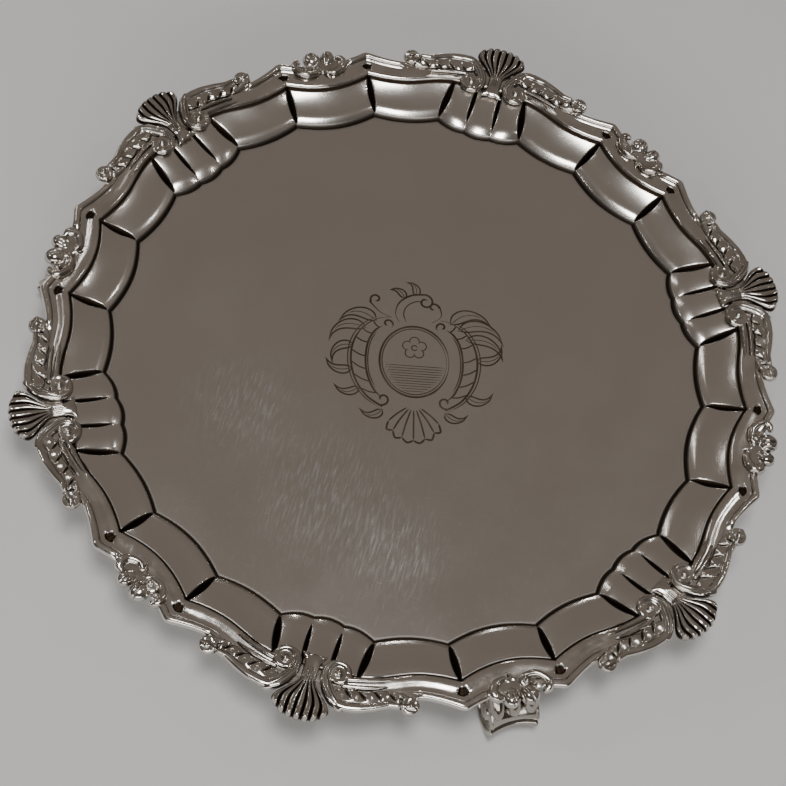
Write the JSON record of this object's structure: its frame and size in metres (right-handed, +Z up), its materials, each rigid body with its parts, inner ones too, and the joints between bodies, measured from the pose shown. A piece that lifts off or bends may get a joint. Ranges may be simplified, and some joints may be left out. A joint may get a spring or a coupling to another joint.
{
  "type": "salver",
  "caption": "Silver salver: a lobed tray with a border of shells, scrolls and rocailles, scroll feet and an engraved rococo cartouche",
  "frame": {"origin": "on the table under the centre of the tray", "axes": "+Z up out of the well; +Y towards one shell, with the other shells every sixty degrees from it"},
  "size_m": [0.2925, 0.3046, 0.0305],
  "materials": {
    "silver": "polished",
    "cast_silver": "polished, dark in the recesses"
  },
  "bodies": {
    "root": {"tray": "silver", "border_1": "cast_silver", "border_2": "cast_silver", "border_3": "cast_silver", "border_4": "cast_silver", "border_5": "cast_silver", "border_6": "cast_silver", "shell_1": "cast_silver", "shell_2": "cast_silver", "shell_3": "cast_silver", "shell_4": "cast_silver", "shell_5": "cast_silver", "shell_6": "cast_silver", "scroll_left_1": "cast_silver", "scroll_left_2": "cast_silver", "scroll_left_3": "cast_silver", "scroll_left_4": "cast_silver", "scroll_left_5": "cast_silver", "scroll_left_6": "cast_silver", "scroll_right_1": "cast_silver", "scroll_right_2": "cast_silver", "scroll_right_3": "cast_silver", "scroll_right_4": "cast_silver", "scroll_right_5": "cast_silver", "scroll_right_6": "cast_silver", "rocaille_1": "cast_silver", "rocaille_2": "cast_silver", "rocaille_3": "cast_silver", "rocaille_4": "cast_silver", "rocaille_5": "cast_silver", "rocaille_6": "cast_silver", "foot_1": "cast_silver", "foot_2": "cast_silver", "foot_3": "cast_silver"}
  },
  "joints": []
}
